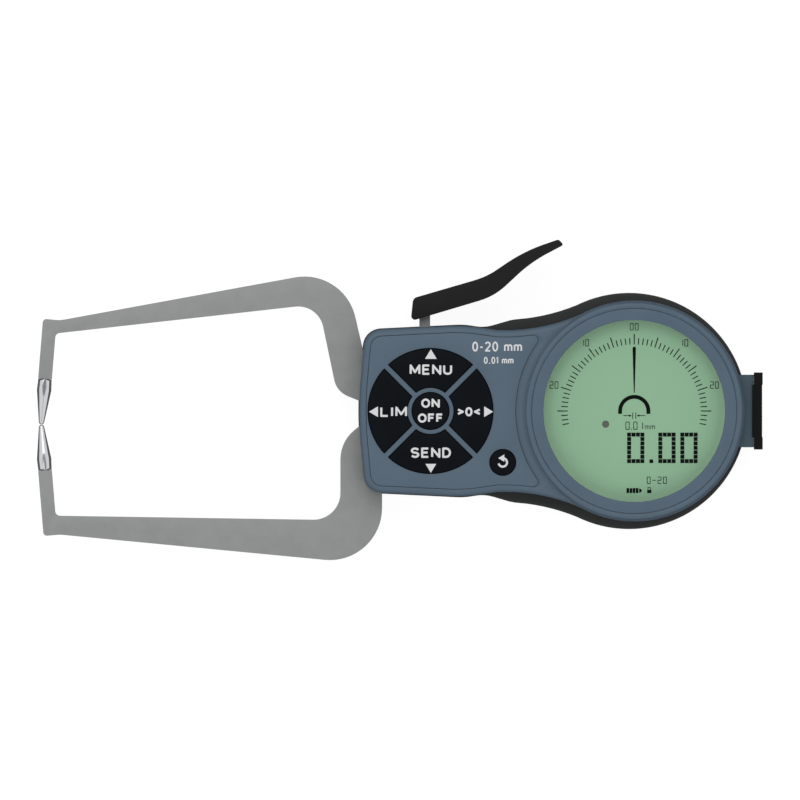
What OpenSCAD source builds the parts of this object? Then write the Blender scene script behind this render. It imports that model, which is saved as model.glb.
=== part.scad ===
// Digital external caliper gauge: two plate arms with hardened contact points, a squeeze lever that
// opens them, and a housing with a keypad and a round display. Millimetres, +Z towards the display,
// +X from the pivot to the display, origin under the pivot on the back of the housing.

/* [Jaws] */
// Distance from the pivot to the line of the contact points
arm_reach = 104.5; // [88:0.5:130]
// Thickness of both arm plates
arm_t = 4; // [3.2:0.1:5]
// Width of an arm's leg at its contact point
leg_w = 3.7; // [3.4:0.1:4.6]
// Length of a contact point outside its arm
contact_l = 12.3; // [10:0.1:15]
// Diameter of the ball end of a contact point
ball_d = 1.5; // [1:0.1:2]
// Diameter of a contact point's collar
collar_d = 3.9; // [3.4:0.1:4.6]
// Angle by which the lever opens the jaws
open_angle = 11.3; // [8:0.1:11.5]

/* [Housing] */
// Distance from the pivot to the centre of the display
dial_x = 54.7; // [50:0.1:66]
// Diameter of the raised ring round the display
dial_d = 59.4; // [56:0.1:71]
// Diameter of the back housing behind the display
rear_d = 63.5; // [60:0.1:77]
// Height of the space under the arms
base_h = 8; // [7:0.1:10]
// Half width of the keypad end at its outer corners
pad_y = 21.8; // [21:0.1:26]
// Half width of the waist between keypad and display
waist_y = 21.75; // [20.6:0.05:23]
// Thickness of the side walls
wall = 2; // [1.6:0.1:2.4]
// Thickness of the back
floor_t = 2; // [1.6:0.1:2.4]
// Thickness of the keypad deck
deck_t = 2.3; // [2:0.1:2.8]
// Height of the display ring above the keypad deck
ring_rise = 2; // [1.6:0.1:2.6]

/* [Display] */
// Diameter of the visible window
window_d = 48.8; // [44:0.1:50]
// Thickness of the window
window_t = 1.4; // [1:0.1:1.6]
// Thickness of the display glass
lcd_t = 2; // [1.6:0.1:2.4]

/* [Keys] */
// Outer radius of the four sector keys
key_r = 16.7; // [15:0.1:17.5]
// Inner radius of the four sector keys
key_inner_r = 6.4; // [5.8:0.1:7]
// Radius of the centre key
ok_r = 4.9; // [4.2:0.1:5.1]
// Radius of the small reset key
reset_r = 3.4; // [2.8:0.1:3.8]
// Width of the gap between two sector keys
key_gap = 1.74; // [1.5:0.02:2.2]
// Travel of a key
key_travel = 0.4; // [0.3:0.05:0.5]

/* [Pivot] */
// Outside diameter of the arm's ball bearing
bearing_d = 14; // [13:0.1:16]
// Bore of the arm's ball bearing
bearing_bore = 7; // [6:0.1:8]
// Number of balls
ball_count = 11; // [8:1:12]

/* [Data port] */
// Width of the port block
port_w = 19.5; // [17:0.1:22]
// Height of the port block
port_h = 14.5; // [13:0.1:15]

/* [Hidden] */
$fn = 96;

// Gap between pieces that lie side by side
gap = 0.1;
// Overshoot of a cut past the face that it goes through
over = 1;
// Length of a cut that goes through everything above it
through = 40;

// Heights of the stack, from the back up
arm_z = base_h;
arm_top = arm_z + arm_t;
arm_mid = arm_z + arm_t / 2;
chassis_t = 1.7;
chassis_clear = 0.3;
chassis_z = arm_z - chassis_clear - chassis_t;
rear_top = arm_top + 0.3;
gasket_t = 0.4;
front_z = rear_top + gasket_t;
board_z = arm_top + 3;
board_t = 1.2;
board_top = board_z + board_t;
dome_h = 1;
key_bottom = board_top + dome_h + 1.3;
flange_t = 0.8;
deck_under = key_bottom + flange_t + 0.4;
deck_z = deck_under + deck_t;
ring_top = deck_z + ring_rise;
window_z = deck_under + 0.9;
lcd_z = window_z - 0.4 - lcd_t;

// Front outline
ring_r = dial_d / 2;
pad_left = 19.6;
pad_left_corner = 17.6;
pad_crown_x = 9;
pad_crown_y = pad_y + 1.3;
neck_x = 20;
// Back outline, just wider than the front and clearly wider behind the waist and the display
rear_lip = 0.2;
rear_r = rear_d / 2;
rear_x = dial_x - 1.4;
rear_waist_y = waist_y + 2.75;
rear_neck_x = 19;

// Contact points meet a little to one side of the pivot's centre line
tip_y = -3.65;
tip_gap = 0.03;
leg_shift = 1;
leg_x = -arm_reach + leg_shift;
moving_leg_y = tip_y + contact_l;
fixed_leg_y = tip_y - contact_l;
// Rise of a leg's end face over half its width, square to its contact point
leg_bevel = leg_shift / contact_l * leg_w / 2;
contact_shank_r = 1.2;
contact_shank_l = 5.8;
contact_seat = 0.05;
contact_belly = 3.1;

// Pivot
hub_r = bearing_d / 2 + 3;
race_t = (bearing_d - bearing_bore) / 4 - 0.5;
ball_pitch_r = (bearing_d + bearing_bore) / 4;
ball_r = 0.8;
ball_clear = 0.03;
bearing_lip = 0.25;
bearing_z = arm_z + bearing_lip;
bearing_w = arm_t - 2 * bearing_lip;
axle_thread_r = 2.45;

// Encoder fan on the moving arm
fan_r = 17.5;
fan_low = -10;
fan_high = 25;
stop_r = 1.25;
stop_at = 14;

// Screws
case_screw_r = 1.25;
case_boss_r = 2.4;
case_head_r = 2.3;
case_head_h = 1.6;
case_head_sink = 0.3;
case_screw_grip = 3.7;
case_thread_h = 5;
boss_ring_r = ring_r - 2.8;
boss_angle = 50;
case_points = [
    [-15.5, -16.5],
    [11, 17.5],
    [11, -17.5],
    for (a = [boss_angle, 180 - boss_angle, 180 + boss_angle, -boss_angle])
        [dial_x + boss_ring_r * cos(a), boss_ring_r * sin(a)]
];
chassis_points = [[-8.5, 17], [13.5, 11.5], [13.5, -11.5]];
arm_screw_points = [[-14.4, -8.2], [-7.2, -15.9], [2.8, -15.9]];
dowel_points = [[-10.9, -15.9], [-2.2, -15.9]];
dowel_r = 1;
spring_pin_a = [-11, 8];
spring_pin_b = [-11, -11.2];
spring_pin_r = 0.7;
spring_z = arm_top + 1.5;
coil_r = 1;
coil_turns = 14;
coil_points = 8;
coil_wire_r = 0.2;
coil_lead = 3.2;
hook_r = spring_pin_r + coil_wire_r + 0.05;

// Keys
reset_x = 19.4;
reset_y = -13.8;
key_proud = 0.3;
key_fit = 0.2;
key_lip_out = 0.35;
key_lip_in = 0.8;
foil_t = 0.5;
foil_edge = 1.95;
foil_dial_r = ring_r + 2.15;
key_centre_r = (key_r + key_inner_r) / 2;
dome_points = [
    [0, 0],
    [reset_x, reset_y],
    for (a = [0:90:270]) key_centre_r * [cos(a), sin(a)]
];
dome_r = 2.2;

// Battery
cell_r = 10;
cell_t = 3.2;
lid_r = 12.5;
lid_bore_r = lid_r + 0.4;
lid_z = 0.2;
lid_t = 2;
lid_top = lid_z + lid_t;
lug_t = 0.65;
lug_r = lid_r + 1.1;
cell_z = lid_top + 0.2;
cup_roof_z = cell_z + cell_t + 1.2;
cup_roof_t = 1.2;

// Data port
port_x = rear_x + rear_r - 5.15;
port_back_x = port_x - 0.2;
port_face_x = port_x + 6.9;
port_hole_r = 0.4;
port_z = 4;
socket_w = 12;
socket_h = 7.5;
socket_x = port_x + 1.7;
socket_mid_z = port_z + port_h / 2;
cap_t = 2.15;
cap_ear = 0.15;
cap_ear_w = 3.3;
cap_side = 0.6;
cap_over = 0.5;
cap_lip = 0.5;
plug_l = 1.5;
plug_fit = 0.15;
plug_wall = 0.85;

// Unit vector along v
function unit(v) = v / norm(v);

// Points that round corner b of the path a-b-c with radius r
function corner_arc(a, b, c, r) =
    let (u = unit(a - b), v = unit(c - b))
    let (half = acos(u * v) / 2)
    let (centre = b + unit(u + v) * r / sin(half))
    let (p = b + u * r / tan(half) - centre)
    let (q = b + v * r / tan(half) - centre)
    let (start = atan2(p[1], p[0]))
    let (sweep = (atan2(q[1], q[0]) - start + 540) % 360 - 180)
    let (steps = ceil(abs(sweep) * max(1 / 7.5, r / 86)))
    [for (i = [0:steps]) centre + r * [cos(start + sweep * i / steps), sin(start + sweep * i / steps)]];

// Closed outline through corners given as [x, y, radius]
function outline(corners) =
    let (n = len(corners))
    [
        for (i = [0:n - 1])
            let (a = corners[(i + n - 1) % n], b = corners[i], c = corners[(i + 1) % n])
            each b[2] == 0
                ? [[b[0], b[1]]]
                : corner_arc([a[0], a[1]], [b[0], b[1]], [c[0], c[1]], b[2])
    ];

// Corners followed by their mirror image below the X axis
function both_halves(upper) =
    concat(upper, [for (i = [len(upper) - 1:-1:0]) [upper[i][0], -upper[i][1], upper[i][2]]]);

// Radius of the waist's curve that runs tangent into a circle of radius r at distance d
function neck_radius(d, waist, r) = (d * d + waist * waist - r * r) / (2 * (r - waist));

// Waist that is narrowest at x, starts at start_x, widens in a smooth curve and runs just under
// the circle round the display
module neck(start_x, x, waist, centre_x, r, inset) {
    d = centre_x - x;
    under_r = r - 0.05;
    curve_r = neck_radius(d, waist, under_r);
    tangent_x = centre_x - under_r * d / (curve_r + under_r);
    difference() {
        translate([start_x, -r])
            square([tangent_x - start_x, 2 * r]);
        for (side = [-1, 1])
            translate([x, side * (waist + curve_r)])
                circle(curve_r + inset, $fn = 360);
    }
}

// Outline of a shell from its keypad corners, waist and display circle, drawn in by inset. The
// keypad end reaches into the neck, which starts at start_x.
module shell_outline(left, upper, start_x, x, waist, centre_x, r, inset) {
    offset(delta = -inset)
        polygon(outline(concat([[-left, 0, 97]], both_halves(upper))));
    neck(start_x, x, waist, centre_x, r, inset);
    translate([centre_x, 0])
        circle(r - inset, $fn = 180);
}

module front_outline(inset = 0)
    shell_outline(
        pad_left,
        [[-pad_left_corner, pad_y, 5], [pad_crown_x, pad_crown_y, 50], [neck_x + 5, waist_y - 1, 0]],
        neck_x - 3, neck_x, waist_y, dial_x, ring_r, inset
    );

module rear_outline(inset = 0)
    shell_outline(
        pad_left + rear_lip,
        [[-pad_left_corner - rear_lip, pad_y + rear_lip, 5],
         [pad_crown_x, pad_crown_y + rear_lip, 20],
         [rear_neck_x - 4.5, rear_waist_y - 2.1, 10],
         [rear_neck_x + 2.8, rear_waist_y + 0.05, 12],
         [rear_neck_x + 10, rear_waist_y + 0.75, 0]],
        rear_neck_x + 4.5, rear_neck_x, rear_waist_y, rear_x, rear_r, inset
    );

// Flat head screw pointing along +Z with its head's outer face at z = 0
module screw(head_r, head_h, shank_r, length) {
    difference() {
        union() {
            cylinder(h = head_h, r = head_r);
            cylinder(h = length, r = shank_r);
        }
        translate([0, 0, -over])
            cylinder(h = over + head_h * 0.6, r = shank_r * 0.8, $fn = 6);
    }
}

// Sector key's plan, pointing along +X, grown by grow on every side
module sector(grow = 0) {
    start = (key_gap / 2 - grow) * sqrt(2);
    reach = key_r + grow;
    intersection() {
        difference() {
            circle(key_r + grow);
            circle(key_inner_r - grow);
        }
        polygon([[start, 0], [start + reach, reach], [start + reach, -reach]]);
    }
}

// Holes that the six keys pass through
module key_holes() {
    for (a = [0:90:270])
        rotate(a)
            sector(key_fit);
    circle(ok_r + key_fit);
    translate([reset_x, reset_y])
        circle(reset_r + key_fit);
}

// Plan of the keypad skin, which ends in a hollow curve round the display
module foil_outline(inset = 0) {
    offset(r = 1.3 - inset)
        offset(delta = -1.3)
            difference() {
                front_outline(foil_edge);
                translate([dial_x, 0])
                    circle(foil_dial_r, $fn = 180);
                translate([dial_x - 20, -50])
                    square(100);
            }
}

// Space that the moving arm, its post and the fixed arm need in the side walls
module arm_slots() {
    translate([-30, -40, arm_z - 0.5])
        cube([30 - 12.5, 40 - 3.1, arm_t + 2]);
    translate([-30, 1.7, arm_z - 0.5])
        cube([30 - 13.7, 40, arm_t + 2]);
    translate([-3.7, waist_y - 4, arm_z - 0.5])
        cube([8.9, 12, arm_t + 2]);
}

// Cut in both shells for the port block
module port_cut()
    translate([port_back_x - gap, -port_w / 2 - gap, port_z - gap])
        cube([through, port_w + 2 * gap, port_h + 2 * gap]);

module rear_shell() {
    color([0.13, 0.13, 0.14])
    difference() {
        union() {
            difference() {
                linear_extrude(rear_top)
                    rear_outline();
                translate([0, 0, floor_t])
                    linear_extrude(rear_top)
                        front_outline(wall);
            }
            for (p = case_points)
                translate([p[0], p[1], 1])
                    cylinder(h = (p[0] < 0 ? chassis_z : rear_top) - 1, r = case_boss_r);
            for (p = chassis_points)
                translate([p[0], p[1], 1])
                    cylinder(h = chassis_z - 1, r = case_boss_r);
            translate([rear_x, 0, 1])
                cylinder(h = cup_roof_z + cup_roof_t - 1, r = lid_bore_r + 2);
        }
        for (p = case_points)
            translate([p[0], p[1], -over]) {
                cylinder(h = through, r = case_screw_r + gap);
                cylinder(h = over + case_head_sink + case_head_h, r = case_head_r + gap);
            }
        for (p = chassis_points)
            translate([p[0], p[1], floor_t])
                cylinder(h = through, r = 0.95);
        translate([rear_x, 0, -over])
            cylinder(h = over + cup_roof_z, r = lid_bore_r);
        translate([rear_x, 0, lid_top - 0.1])
            cylinder(h = lug_t + 0.5, r = lug_r + 0.3);
        for (a = [60:120:300])
            translate([rear_x, 0, -over])
                rotate(a)
                    translate([0, -2.3, 0])
                        cube([lug_r + 0.2, 4.6, over + lid_top + 0.2]);
        for (x = [-6, 6])
            translate([rear_x + x, 0, 0])
                cylinder(h = through, r = 1.3);
        arm_slots();
        port_cut();
    }
}

module front_shell() {
    color([0.34, 0.40, 0.47])
    difference() {
        union() {
            difference() {
                union() {
                    translate([0, 0, front_z])
                        linear_extrude(deck_z - front_z)
                            front_outline();
                    translate([dial_x, 0, deck_under + 0.2])
                        cylinder(h = ring_top - deck_under - 0.2, r = ring_r - 0.2, $fn = 180);
                }
                translate([0, 0, front_z - over])
                    linear_extrude(deck_under - front_z + over)
                        front_outline(wall);
            }
            for (p = case_points)
                translate([p[0], p[1], front_z])
                    cylinder(h = deck_under + 0.4 - front_z, r = case_boss_r);
        }
        for (p = case_points)
            translate([p[0], p[1], front_z - over])
                cylinder(h = over + case_thread_h, r = case_screw_r);
        translate([dial_x, 0, front_z])
            cylinder(h = through, r = window_d / 2 + 0.5);
        translate([dial_x, 0, window_z])
            cylinder(h = through, r = ring_r - 2.1);
        translate([0, 0, deck_z - foil_t])
            linear_extrude(through)
                foil_outline(-gap);
        translate([0, 0, front_z])
            linear_extrude(through)
                key_holes();
        port_cut();
    }
}

module shell_gasket() {
    color([0.08, 0.08, 0.08])
    difference() {
        translate([0, 0, rear_top])
            linear_extrude(gasket_t)
                difference() {
                    front_outline(0.5);
                    front_outline(wall - 0.5);
                    translate([port_back_x - gap, -port_w / 2 - gap])
                        square([through, port_w + 2 * gap]);
                }
        for (p = case_points)
            translate([p[0], p[1], rear_top - over])
                cylinder(h = 3, r = case_boss_r + 0.01);
    }
}

module case_screws() {
    color([0.6, 0.6, 0.62])
    for (p = case_points)
        translate([p[0], p[1], case_head_sink])
            screw(case_head_r, case_head_h, case_screw_r, front_z + case_screw_grip);
}

module chassis_plate() {
    color([0.62, 0.63, 0.64])
    difference() {
        union() {
            translate([0, 0, chassis_z])
                linear_extrude(chassis_t)
                    intersection() {
                        front_outline(wall + 0.4);
                        translate([-40, -40])
                            square([57.5, 80]);
                    }
            translate([0, 0, chassis_z + chassis_t])
                linear_extrude(chassis_clear)
                    intersection() {
                        front_outline(wall + 0.6);
                        arm_root();
                    }
        }
        for (p = case_points)
            translate([p[0], p[1], 0])
                cylinder(h = through, r = p[0] < 0 ? case_screw_r + gap : case_boss_r + 0.3);
        for (p = chassis_points)
            translate([p[0], p[1], 0])
                cylinder(h = through, r = 1.05);
        for (p = arm_screw_points)
            translate([p[0], p[1], 0])
                cylinder(h = through, r = 1.25);
        for (p = dowel_points)
            translate([p[0], p[1], 0])
                cylinder(h = through, r = dowel_r);
        translate([0, 0, chassis_z - over])
            cylinder(h = through, r = bearing_bore / 2);
        translate([stop_x(), stop_y(), 0])
            cylinder(h = through, r = stop_r);
    }
}

module chassis_screws() {
    color([0.7, 0.7, 0.7])
    for (p = chassis_points)
        translate([p[0], p[1], chassis_z + chassis_t + 1])
            mirror([0, 0, 1])
                screw(1.9, 1, 0.95, chassis_t + 3.5);
}

module pivot_axle() {
    color([0.75, 0.75, 0.76])
    union() {
        translate([0, 0, chassis_z - 0.8])
            cylinder(h = 0.8, r = bearing_bore / 2 + 1.5);
        translate([0, 0, chassis_z - 0.8])
            cylinder(h = arm_top + 0.2 - chassis_z + 0.8, r = bearing_bore / 2);
        translate([0, 0, arm_top])
            cylinder(h = 2.3, r = axle_thread_r);
    }
}

module axle_nut() {
    color([0.72, 0.72, 0.73])
    translate([0, 0, arm_top + 0.2])
        difference() {
            cylinder(h = 1.8, r = 4.6, $fn = 6);
            translate([0, 0, -over])
                cylinder(h = through, r = axle_thread_r);
        }
}

// Washer round the axle from height z
module washer(z, h)
    translate([0, 0, z])
        difference() {
            cylinder(h = h, r = bearing_bore / 2 + race_t - 0.3);
            translate([0, 0, -over])
                cylinder(h = h + 2 * over, r = bearing_bore / 2);
        }

module bearing_spacers() {
    color([0.8, 0.75, 0.5]) {
        washer(chassis_z + chassis_t, bearing_z - chassis_z - chassis_t);
        washer(bearing_z + bearing_w, arm_top + 0.2 - bearing_z - bearing_w);
    }
}

// Ring of the ball bearing with its ball groove
module race(inner_r, outer_r)
    difference() {
        translate([0, 0, bearing_z])
            difference() {
                cylinder(h = bearing_w, r = outer_r);
                translate([0, 0, -over])
                    cylinder(h = bearing_w + 2 * over, r = inner_r);
            }
        translate([0, 0, arm_mid])
            rotate_extrude()
                translate([ball_pitch_r, 0])
                    circle(ball_r + ball_clear, $fn = 48);
    }

module bearing_inner_race() {
    color([0.78, 0.78, 0.8])
    race(bearing_bore / 2, bearing_bore / 2 + race_t);
}

module bearing_outer_race() {
    color([0.78, 0.78, 0.8])
    race(bearing_d / 2 - race_t, bearing_d / 2);
}

module bearing_balls() {
    color([0.85, 0.85, 0.86])
    for (i = [0:ball_count - 1])
        rotate(360 * i / ball_count)
            translate([ball_pitch_r, 0, arm_mid])
                sphere(ball_r, $fn = 32);
}

module bearing_cage() {
    color([0.75, 0.6, 0.3])
    difference() {
        translate([0, 0, arm_mid - 0.95])
            difference() {
                cylinder(h = 1.9, r = ball_pitch_r + 0.28);
                translate([0, 0, -over])
                    cylinder(h = through, r = ball_pitch_r - 0.28);
            }
        for (i = [0:ball_count - 1])
            rotate(360 * i / ball_count)
                translate([0, 0, arm_mid])
                    rotate([0, 90, 0])
                        cylinder(h = through, r = ball_r + 0.02, $fn = 32);
    }
}

// Plan of the moving arm without its hub
module moving_arm_plan() {
    polygon(outline([
        [leg_x - leg_w / 2, moving_leg_y + leg_bevel, 0],
        [leg_x - 0.55, 24.8, 1],
        [leg_x + 4, 24.35, 8],
        [-23.2, 38.3, 14],
        [-17.2, 12.4, 3],
        [-6, 9, 0],
        [-6, -2, 0],
        [-9, -1.5, 0],
        [-25.2, 5.2, 6],
        [-30.1, 28.7, 6.8],
        [leg_x + leg_w / 2 + 1, 20.8, 1.2],
        [leg_x + leg_w / 2, moving_leg_y - leg_bevel, 0]
    ]));
    translate([-3, 5])
        square([2.9, 22]);
    polygon([[-3, 26], [-3, 29.4], [7.2, 32.2], [7.2, 29.4], [-0.1, 27.4], [-0.1, 26]]);
}

module moving_arm() {
    color([0.57, 0.57, 0.57])
    difference() {
        union() {
            translate([0, 0, arm_z])
                linear_extrude(arm_t) {
                    moving_arm_plan();
                    intersection() {
                        circle(fan_r);
                        polygon([
                            [0, 0],
                            2 * fan_r * [cos(fan_low), sin(fan_low)],
                            2 * fan_r * [cos(fan_high), sin(fan_high)]
                        ]);
                    }
                }
            translate([0, 0, arm_z])
                cylinder(h = arm_t, r = hub_r);
        }
        translate([0, 0, bearing_z])
            cylinder(h = through, r = bearing_d / 2);
        translate([0, 0, arm_z - over])
            cylinder(h = through, r = bearing_d / 2 - 0.4);
        translate([spring_pin_a[0], spring_pin_a[1], arm_z - over])
            cylinder(h = through, r = spring_pin_r);
        for (p = lever_screw_points())
            translate([p[0], p[1], arm_z - over])
                cylinder(h = through, r = 0.85);
        contact_place(moving_leg_y, 1)
            translate([0, 0, -contact_shank_l - 0.2])
                cylinder(h = contact_shank_l + over, r = contact_shank_r);
    }
}

// Puts a contact point's base at its arm's leg, with +Z along it towards its tip
module contact_place(leg_y, side) {
    tip_x = -arm_reach;
    lean = atan((leg_x - tip_x) / contact_l);
    translate([leg_x, leg_y, arm_mid])
        rotate([side * 90, 0, 0])
            rotate([0, -lean, 0])
                children();
}

module contact(leg_y, side) {
    full = norm([leg_shift, contact_l]) - tip_gap;
    ball = ball_d / 2;
    color([0.82, 0.82, 0.83])
    contact_place(leg_y, side)
        union() {
            rotate_extrude()
                polygon([
                    [0, -contact_shank_l], [contact_shank_r, -contact_shank_l],
                    [contact_shank_r, contact_seat], [leg_w / 2 - contact_seat, contact_seat],
                    [collar_d / 2, contact_belly], [ball, full - ball], [0, full - ball]
                ]);
            translate([0, 0, full - ball])
                sphere(ball, $fn = 48);
        }
}

module moving_contact() contact(moving_leg_y, 1);

module fixed_contact() contact(fixed_leg_y, -1);

// Places of the two screws that hold the lever on the arm's post
function lever_screw_points() = [[-1.5, 28], [5, 30.2]];

module lever() {
    color([0.14, 0.14, 0.14])
    difference() {
        translate([0, 0, arm_z - 3])
            linear_extrude(arm_t + 6)
                polygon(outline([
                    [-5.3, 24.1, 1],
                    [-4.7, 30.3, 1.6],
                    [15.2, 36.1, 22],
                    [25, 42.9, 45],
                    [34.4, 46.1, 0.9],
                    [35.8, 44.6, 0.5],
                    [27, 40, 40],
                    [17.2, 30.8, 18]
                ]));
        translate([0, 0, arm_z - 0.01])
            linear_extrude(arm_t + 0.02) {
                translate([-3.02, 20])
                    square([2.94, 8]);
                polygon([[-3.02, 26], [-3.02, 29.42], [7.22, 32.24], [7.22, 29.38],
                         [-0.08, 27.38], [-0.08, 26]]);
            }
        for (p = lever_screw_points())
            translate([p[0], p[1], arm_z - 3 - over]) {
                cylinder(h = arm_t + 6, r = 0.85);
                cylinder(h = over + 1, r = 1.7);
            }
    }
}

module lever_screws() {
    color([0.5, 0.5, 0.5])
    for (p = lever_screw_points())
        translate([p[0], p[1], arm_z - 2.9])
            screw(1.6, 0.9, 0.85, arm_t + 4.5);
}

// Part of the fixed arm that lies inside the housing
module arm_root() {
    polygon(outline([
        [-24.2, -25, 0],
        [-24.2, -8.25, 10],
        [-18.6, -3.6, 1],
        [-12.5, -3.9, 1],
        [-11, -8, 2],
        [-5, -12.6, 2],
        [6, -12.6, 1],
        [6, -18.8, 1],
        [-13, -18.8, 1.5],
        [-13, -25, 0]
    ]));
}

module fixed_arm() {
    color([0.57, 0.57, 0.57])
    difference() {
        translate([0, 0, arm_z])
            linear_extrude(arm_t) {
                arm_root();
                polygon(outline([
                    [-13, -24, 0],
                    [-13, -41.45, 14],
                    [leg_x + 4, -33.2, 8],
                    [leg_x - 0.4, -33.6, 1],
                    [leg_x - leg_w / 2, fixed_leg_y - leg_bevel, 0],
                    [leg_x + leg_w / 2, fixed_leg_y + leg_bevel, 0],
                    [leg_x + leg_w / 2 + 1, -28.1, 1.3],
                    [-24.2, -29.3, 7.2],
                    [-24.2, -24, 0]
                ]));
            }
        for (p = arm_screw_points)
            translate([p[0], p[1], 0])
                cylinder(h = through, r = 1.25);
        for (p = dowel_points)
            translate([p[0], p[1], 0])
                cylinder(h = through, r = dowel_r);
        translate([case_points[0][0], case_points[0][1], 0])
            cylinder(h = through, r = case_screw_r + gap);
        translate([spring_pin_b[0], spring_pin_b[1], 0])
            cylinder(h = through, r = spring_pin_r);
        contact_place(fixed_leg_y, -1)
            translate([0, 0, -contact_shank_l - 0.2])
                cylinder(h = contact_shank_l + over, r = contact_shank_r);
    }
}

module fixed_arm_screws() {
    color([0.7, 0.7, 0.7])
    for (p = arm_screw_points)
        translate([p[0], p[1], arm_top + 1.4])
            mirror([0, 0, 1])
                screw(2.1, 1.4, 1.25, arm_t + 3);
}

module fixed_arm_dowels() {
    color([0.75, 0.75, 0.75])
    for (p = dowel_points)
        translate([p[0], p[1], chassis_z + 0.2])
            cylinder(h = arm_t + 1.6, r = dowel_r);
}

// Smooth frames carried along a path, as one normal for each point
function heading(path, i) = unit(path[min(i + 1, len(path) - 1)] - path[max(i - 1, 0)]);
function carried(path, i, n) =
    let (t = heading(path, i))
    let (m = unit(n - (n * t) * t))
    i == len(path) - 1 ? [m] : concat([m], carried(path, i + 1, m));

// Round wire of radius r along a path
module wire(path, r, sides = 8) {
    normals = carried(path, 0, [0, 0, 1]);
    count = len(path);
    points = [
        for (i = [0:count - 1], k = [0:sides - 1])
            let (n = normals[i], b = cross(heading(path, i), n), a = 360 * k / sides)
            path[i] + r * (cos(a) * n + sin(a) * b)
    ];
    side_faces = [
        for (i = [0:count - 2], k = [0:sides - 1])
            let (a = i * sides + k, b = i * sides + (k + 1) % sides)
            each [[a, a + sides, b], [b, a + sides, b + sides]]
    ];
    start = [for (k = [0:sides - 1]) k];
    finish = [for (k = [sides - 1:-1:0]) (count - 1) * sides + k];
    polyhedron(points, concat(side_faces, [start, finish]));
}

// Extension spring: a hook round each pin with a close coil between them
module return_spring() {
    coil_start = spring_pin_a[1] - coil_lead;
    coil_end = spring_pin_b[1] + coil_lead;
    hook_a = [
        for (a = [-60:30:210])
            [spring_pin_a[0] + hook_r * cos(a), spring_pin_a[1] + hook_r * sin(a), spring_z]
    ];
    coil = [
        for (i = [0:coil_points * coil_turns])
            let (f = i / (coil_points * coil_turns), a = -360 / coil_points * i)
            [spring_pin_a[0] - coil_r * cos(a), coil_start + (coil_end - coil_start) * f,
             spring_z + coil_r * sin(a)]
    ];
    hook_b = [
        for (a = [150:30:420])
            [spring_pin_b[0] + hook_r * cos(a), spring_pin_b[1] + hook_r * sin(a), spring_z]
    ];
    color([0.65, 0.65, 0.66])
    wire(concat(hook_a, coil, hook_b), coil_wire_r, 6);
}

// Grooved pin that a spring hook sits on
module spring_pin(p)
    translate([p[0], p[1], arm_z])
        union() {
            cylinder(h = spring_z + 0.7 - arm_z, r = spring_pin_r);
            translate([0, 0, spring_z + 0.4 - arm_z])
                cylinder(h = 0.5, r = spring_pin_r + 0.4);
        }

module spring_pin_moving() {
    color([0.7, 0.7, 0.7])
    spring_pin(spring_pin_a);
}

module spring_pin_fixed() {
    color([0.7, 0.7, 0.7])
    spring_pin(spring_pin_b);
}

// Place of the stop pin, which the fan's lower edge nearly reaches at full opening
function stop_angle() = fan_low - open_angle - asin((stop_r + gap) / stop_at);
function stop_x() = stop_at * cos(stop_angle());
function stop_y() = stop_at * sin(stop_angle());

module arm_stop() {
    color([0.7, 0.7, 0.7])
    translate([stop_x(), stop_y(), chassis_z])
        cylinder(h = arm_top - chassis_z, r = stop_r);
}

module encoder_scale() {
    color([0.75, 0.65, 0.3])
    translate([0, 0, arm_top])
        linear_extrude(0.4)
            intersection() {
                difference() {
                    circle(fan_r - 0.3);
                    circle(hub_r + 0.6);
                }
                polygon([
                    [0, 0],
                    2 * fan_r * [cos(fan_low + 2), sin(fan_low + 2)],
                    2 * fan_r * [cos(fan_high - 2), sin(fan_high - 2)]
                ]);
            }
}

module encoder_head() {
    color([0.1, 0.35, 0.2])
    translate([11, -5, arm_top + 0.8])
        cube([6.5, 10, board_z - arm_top - 0.8]);
}

module main_board() {
    color([0.1, 0.35, 0.2])
    translate([0, 0, board_z])
        linear_extrude(board_t) {
            translate([-14, -12.5])
                square([34, 25]);
            translate([15, -17])
                square([24, 34]);
            translate([dial_x, 0])
                circle(ring_r - 5.2);
        }
}

module key_domes() {
    color([0.8, 0.8, 0.8])
    for (p = dome_points)
        translate([p[0], p[1], board_top])
            union() {
                cylinder(h = 0.3, r = dome_r);
                translate([0, 0, 0.3])
                    cylinder(h = dome_h - 0.3, r1 = dome_r - 0.3, r2 = 0.9);
            }
}

module lcd_glass() {
    color([0.54, 0.69, 0.57])
    translate([dial_x, 0, lcd_z])
        cylinder(h = lcd_t, r = window_d / 2 + 0.2);
}

module lcd_frame() {
    color([0.85, 0.85, 0.82])
    translate([dial_x, 0, board_top])
        difference() {
            cylinder(h = lcd_z - board_top, r = window_d / 2);
            translate([0, 0, 0.8])
                cylinder(h = through, r = window_d / 2 - 1.5);
            translate([-18, -14, -over])
                cube([3, 28, 10]);
        }
}

module lcd_connector() {
    color([0.25, 0.25, 0.26])
    translate([dial_x - 17.6, -13, board_top])
        cube([2.2, 26, lcd_z - board_top]);
}

module display_window() {
    color([0.8, 0.9, 0.85, 0.4])
    translate([dial_x, 0, window_z])
        cylinder(h = window_t, r = ring_r - 2.4);
}

module window_seal() {
    color([0.05, 0.05, 0.05])
    translate([dial_x, 0, window_z + window_t])
        difference() {
            cylinder(h = 0.3, r = ring_r - 2.4);
            translate([0, 0, -over])
                cylinder(h = through, r = window_d / 2 + 0.6);
        }
}

module display_bezel() {
    color([0.34, 0.40, 0.47])
    translate([dial_x, 0, window_z + window_t + 0.3])
        difference() {
            cylinder(h = ring_top - window_z - window_t - 0.3, r = ring_r - 2.15, $fn = 180);
            translate([0, 0, -over])
                cylinder(h = through, r = window_d / 2, $fn = 180);
        }
}

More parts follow.
